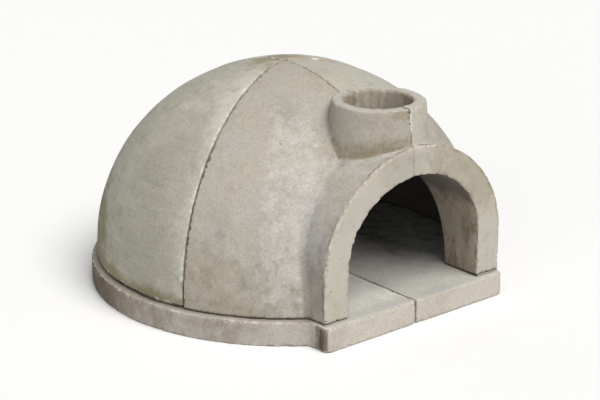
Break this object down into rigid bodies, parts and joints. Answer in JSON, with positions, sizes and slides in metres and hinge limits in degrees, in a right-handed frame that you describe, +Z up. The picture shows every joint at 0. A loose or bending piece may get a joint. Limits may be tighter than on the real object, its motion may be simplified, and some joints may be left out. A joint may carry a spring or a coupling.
{
  "type": "wood fired pizza oven",
  "caption": "Low domed pizza oven of cast concrete segments on a split round hearth slab, with a projecting arched entrance and a short round flue collar above it.",
  "frame": {"origin": "on the ground, at the middle of the footprint's bounding rectangle; the dome's upright axis is 12 mm in front of it", "axes": "+Z up, along the flue; -Y out of the entrance; +X to the right of a person who faces the entrance"},
  "size_m": [0.96, 0.936, 0.532],
  "materials": {
    "front_concrete": "matte",
    "rear_concrete": "matte",
    "hearth_concrete": "matte",
    "joint_mortar": "matte"
  },
  "bodies": {
    "root": {"dome_front_left": "front_concrete", "dome_front_right": "front_concrete", "dome_rear_left": "rear_concrete", "dome_rear_right": "rear_concrete", "hearth_left": "hearth_concrete", "hearth_right": "hearth_concrete", "arch_crown_mortar": "joint_mortar", "flue_to_crown_mortar": "joint_mortar", "left_joint_mortar": "joint_mortar", "right_joint_mortar": "joint_mortar", "rear_joint_mortar": "joint_mortar", "crown_mortar": "joint_mortar", "bed_mortar_left": "joint_mortar", "bed_mortar_right": "joint_mortar"}
  },
  "joints": []
}
